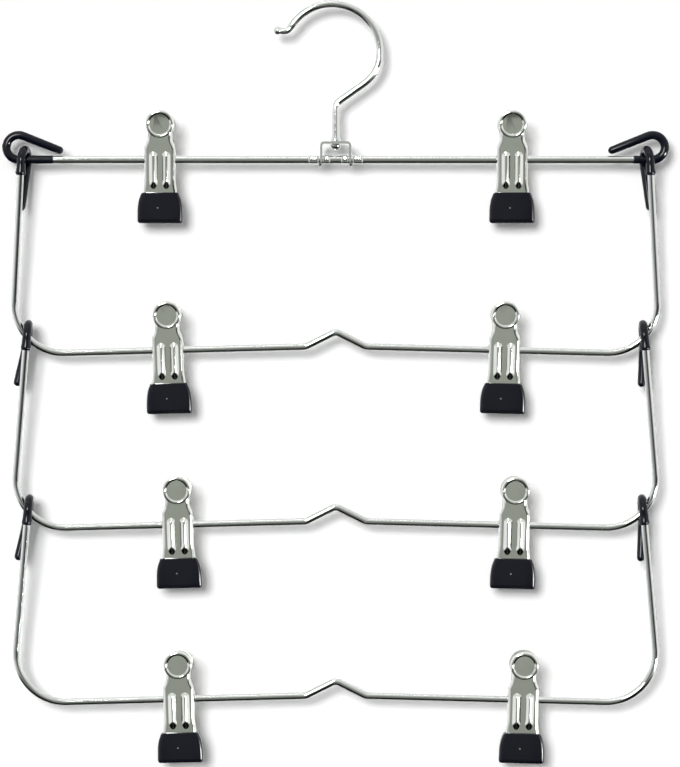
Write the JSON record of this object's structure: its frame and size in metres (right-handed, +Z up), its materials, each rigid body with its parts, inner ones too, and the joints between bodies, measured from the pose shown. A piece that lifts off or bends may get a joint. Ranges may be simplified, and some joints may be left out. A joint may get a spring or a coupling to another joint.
{
  "type": "tiered trouser hanger",
  "caption": "Tiered wire trouser hanger: a swivel hook and saddle carry a bar, and bent wire tiers hang below it in a chain, each with sprung pinch clips that have rubber tips.",
  "frame": {"origin": "where the crook of the swivel hook rests on its rail, at the inside top of the crook", "axes": "+Z up, +X along the bars to the viewer's right, and the front of the clips faces -Y"},
  "size_m": [0.3548, 0.025, 0.4061],
  "materials": {
    "bright_wire": "bright plated steel wire",
    "clip_plate": "bright plated pressed steel",
    "spring_wire": "bare spring wire",
    "moulding": "glossy black moulding",
    "rubber_tip": "satin bluish black rubber"
  },
  "bodies": {
    "hook": {"swivel_hook": "bright_wire"},
    "saddle": {"hook_saddle": "bright_wire"},
    "bar": {"top_bar": "bright_wire", "end_hook_left": "moulding", "end_hook_right": "moulding"},
    "tier_2": {"tier_2_frame": "bright_wire", "tier_2_hook_left": "moulding", "tier_2_hook_right": "moulding"},
    "tier_3": {"tier_3_frame": "bright_wire", "tier_3_hook_left": "moulding", "tier_3_hook_right": "moulding"},
    "tier_4": {"tier_4_frame": "bright_wire", "tier_4_hook_left": "moulding", "tier_4_hook_right": "moulding"},
    "tier_1_left_coil": {"tier_1_left_spring": "spring_wire"},
    "tier_1_left_front": {"tier_1_left_front_jaw": "clip_plate", "tier_1_left_front_tip": "rubber_tip"},
    "tier_1_left_rear": {"tier_1_left_rear_jaw": "clip_plate", "tier_1_left_rear_tip": "rubber_tip"},
    "tier_1_right_coil": {"tier_1_right_spring": "spring_wire"},
    "tier_1_right_front": {"tier_1_right_front_jaw": "clip_plate", "tier_1_right_front_tip": "rubber_tip"},
    "tier_1_right_rear": {"tier_1_right_rear_jaw": "clip_plate", "tier_1_right_rear_tip": "rubber_tip"},
    "tier_2_left_coil": {"tier_2_left_spring": "spring_wire"},
    "tier_2_left_front": {"tier_2_left_front_jaw": "clip_plate", "tier_2_left_front_tip": "rubber_tip"},
    "tier_2_left_rear": {"tier_2_left_rear_jaw": "clip_plate", "tier_2_left_rear_tip": "rubber_tip"},
    "tier_2_right_coil": {"tier_2_right_spring": "spring_wire"},
    "tier_2_right_front": {"tier_2_right_front_jaw": "clip_plate", "tier_2_right_front_tip": "rubber_tip"},
    "tier_2_right_rear": {"tier_2_right_rear_jaw": "clip_plate", "tier_2_right_rear_tip": "rubber_tip"},
    "tier_3_left_coil": {"tier_3_left_spring": "spring_wire"},
    "tier_3_left_front": {"tier_3_left_front_jaw": "clip_plate", "tier_3_left_front_tip": "rubber_tip"},
    "tier_3_left_rear": {"tier_3_left_rear_jaw": "clip_plate", "tier_3_left_rear_tip": "rubber_tip"},
    "tier_3_right_coil": {"tier_3_right_spring": "spring_wire"},
    "tier_3_right_front": {"tier_3_right_front_jaw": "clip_plate", "tier_3_right_front_tip": "rubber_tip"},
    "tier_3_right_rear": {"tier_3_right_rear_jaw": "clip_plate", "tier_3_right_rear_tip": "rubber_tip"},
    "tier_4_left_coil": {"tier_4_left_spring": "spring_wire"},
    "tier_4_left_front": {"tier_4_left_front_jaw": "clip_plate", "tier_4_left_front_tip": "rubber_tip"},
    "tier_4_left_rear": {"tier_4_left_rear_jaw": "clip_plate", "tier_4_left_rear_tip": "rubber_tip"},
    "tier_4_right_coil": {"tier_4_right_spring": "spring_wire"},
    "tier_4_right_front": {"tier_4_right_front_jaw": "clip_plate", "tier_4_right_front_tip": "rubber_tip"},
    "tier_4_right_rear": {"tier_4_right_rear_jaw": "clip_plate", "tier_4_right_rear_tip": "rubber_tip"}
  },
  "joints": [
    {"name": "hook_swivel", "type": "hinge", "parent": "hook", "child": "saddle", "pos_m": [0, 0, -0.0715], "axis": [0, 0, 1], "continuous": true},
    {"name": "bar_tilt", "type": "hinge", "parent": "saddle", "child": "bar", "pos_m": [0, 0, -0.0809], "axis": [1, 0, 0], "range_deg": [-85, 85]},
    {"name": "tier_2_swing", "type": "hinge", "parent": "bar", "child": "tier_2", "pos_m": [0, 0, -0.082], "axis": [1, 0, 0], "range_deg": [-80, 80]},
    {"name": "tier_3_swing", "type": "hinge", "parent": "tier_2", "child": "tier_3", "pos_m": [0, -0.00052, -0.17499], "axis": [1, 0, 0], "range_deg": [-80, 80]},
    {"name": "tier_4_swing", "type": "hinge", "parent": "tier_3", "child": "tier_4", "pos_m": [0, -0.00106, -0.26769], "axis": [1, 0, 0], "range_deg": [-80, 80]},
    {"name": "tier_1_left_slide", "type": "slide", "parent": "bar", "child": "tier_1_left_coil", "axis": [1, 0, 0], "range_m": [-0.042, 0.062]},
    {"name": "tier_1_left_swing", "type": "hinge", "parent": "tier_1_left_coil", "child": "tier_1_left_front", "pos_m": [-0.0934, 0, -0.0809], "axis": [1, 0, 0], "range_deg": [-75, 75], "deforming": ["tier_1_left_spring"]},
    {"name": "tier_1_left_open", "type": "hinge", "parent": "tier_1_left_front", "child": "tier_1_left_rear", "pos_m": [-0.0934, 0, -0.0809], "axis": [1, 0, 0], "range_deg": [0, 35], "stiffness_Nm_per_rad": 0.3, "springref_deg": -57.3, "deforming": ["tier_1_left_spring"]},
    {"name": "tier_1_right_slide", "type": "slide", "parent": "bar", "child": "tier_1_right_coil", "axis": [1, 0, 0], "range_m": [-0.062, 0.042]},
    {"name": "tier_1_right_swing", "type": "hinge", "parent": "tier_1_right_coil", "child": "tier_1_right_front", "pos_m": [0.0938, 0, -0.0809], "axis": [1, 0, 0], "range_deg": [-75, 75], "deforming": ["tier_1_right_spring"]},
    {"name": "tier_1_right_open", "type": "hinge", "parent": "tier_1_right_front", "child": "tier_1_right_rear", "pos_m": [0.0938, 0, -0.0809], "axis": [1, 0, 0], "range_deg": [0, 35], "stiffness_Nm_per_rad": 0.3, "springref_deg": -57.3, "deforming": ["tier_1_right_spring"]},
    {"name": "tier_2_left_slide", "type": "slide", "parent": "tier_2", "child": "tier_2_left_coil", "axis": [0.9997, -0.0017, 0.0261], "range_m": [-0.047, 0.059]},
    {"name": "tier_2_left_swing", "type": "hinge", "parent": "tier_2_left_coil", "child": "tier_2_left_front", "pos_m": [-0.0892, -0.00008, -0.18232], "axis": [0.9997, -0.0017, 0.0261], "range_deg": [-75, 75], "deforming": ["tier_2_left_spring"]},
    {"name": "tier_2_left_open", "type": "hinge", "parent": "tier_2_left_front", "child": "tier_2_left_rear", "pos_m": [-0.0892, -0.00008, -0.18232], "axis": [0.9997, -0.0017, 0.0261], "range_deg": [0, 35], "stiffness_Nm_per_rad": 0.3, "springref_deg": -57.3, "deforming": ["tier_2_left_spring"]},
    {"name": "tier_2_right_slide", "type": "slide", "parent": "tier_2", "child": "tier_2_right_coil", "axis": [0.9997, 0.0017, -0.0261], "range_m": [-0.059, 0.047]},
    {"name": "tier_2_right_swing", "type": "hinge", "parent": "tier_2_right_coil", "child": "tier_2_right_front", "pos_m": [0.0896, -0.00008, -0.18233], "axis": [0.9997, 0.0017, -0.0261], "range_deg": [-75, 75], "deforming": ["tier_2_right_spring"]},
    {"name": "tier_2_right_open", "type": "hinge", "parent": "tier_2_right_front", "child": "tier_2_right_rear", "pos_m": [0.0896, -0.00008, -0.18233], "axis": [0.9997, 0.0017, -0.0261], "range_deg": [0, 35], "stiffness_Nm_per_rad": 0.3, "springref_deg": -57.3, "deforming": ["tier_2_right_spring"]},
    {"name": "tier_3_left_slide", "type": "slide", "parent": "tier_3", "child": "tier_3_left_coil", "axis": [0.9997, -0.0017, 0.0261], "range_m": [-0.052, 0.053]},
    {"name": "tier_3_left_swing", "type": "hinge", "parent": "tier_3_left_coil", "child": "tier_3_left_front", "pos_m": [-0.0839, -0.00061, -0.27517], "axis": [0.9997, -0.0017, 0.0261], "range_deg": [-75, 75], "deforming": ["tier_3_left_spring"]},
    {"name": "tier_3_left_open", "type": "hinge", "parent": "tier_3_left_front", "child": "tier_3_left_rear", "pos_m": [-0.0839, -0.00061, -0.27517], "axis": [0.9997, -0.0017, 0.0261], "range_deg": [0, 35], "stiffness_Nm_per_rad": 0.3, "springref_deg": -57.3, "deforming": ["tier_3_left_spring"]},
    {"name": "tier_3_right_slide", "type": "slide", "parent": "tier_3", "child": "tier_3_right_coil", "axis": [0.9997, 0.0017, -0.0261], "range_m": [-0.064, 0.041]},
    {"name": "tier_3_right_swing", "type": "hinge", "parent": "tier_3_right_coil", "child": "tier_3_right_front", "pos_m": [0.0949, -0.00059, -0.27546], "axis": [0.9997, 0.0017, -0.0261], "range_deg": [-75, 75], "deforming": ["tier_3_right_spring"]},
    {"name": "tier_3_right_open", "type": "hinge", "parent": "tier_3_right_front", "child": "tier_3_right_rear", "pos_m": [0.0949, -0.00059, -0.27546], "axis": [0.9997, 0.0017, -0.0261], "range_deg": [0, 35], "stiffness_Nm_per_rad": 0.3, "springref_deg": -57.3, "deforming": ["tier_3_right_spring"]},
    {"name": "tier_4_left_slide", "type": "slide", "parent": "tier_4", "child": "tier_4_left_coil", "axis": [0.9997, -0.0017, 0.0261], "range_m": [-0.053, 0.053]},
    {"name": "tier_4_left_swing", "type": "hinge", "parent": "tier_4_left_coil", "child": "tier_4_left_front", "pos_m": [-0.0833, -0.00115, -0.36786], "axis": [0.9997, -0.0017, 0.0261], "range_deg": [-75, 75], "deforming": ["tier_4_left_spring"]},
    {"name": "tier_4_left_open", "type": "hinge", "parent": "tier_4_left_front", "child": "tier_4_left_rear", "pos_m": [-0.0833, -0.00115, -0.36786], "axis": [0.9997, -0.0017, 0.0261], "range_deg": [0, 35], "stiffness_Nm_per_rad": 0.3, "springref_deg": -57.3, "deforming": ["tier_4_left_spring"]},
    {"name": "tier_4_right_slide", "type": "slide", "parent": "tier_4", "child": "tier_4_right_coil", "axis": [0.9997, 0.0017, -0.0261], "range_m": [-0.069, 0.036]},
    {"name": "tier_4_right_swing", "type": "hinge", "parent": "tier_4_right_coil", "child": "tier_4_right_front", "pos_m": [0.0996, -0.00112, -0.36829], "axis": [0.9997, 0.0017, -0.0261], "range_deg": [-75, 75], "deforming": ["tier_4_right_spring"]},
    {"name": "tier_4_right_open", "type": "hinge", "parent": "tier_4_right_front", "child": "tier_4_right_rear", "pos_m": [0.0996, -0.00112, -0.36829], "axis": [0.9997, 0.0017, -0.0261], "range_deg": [0, 35], "stiffness_Nm_per_rad": 0.3, "springref_deg": -57.3, "deforming": ["tier_4_right_spring"]}
  ]
}
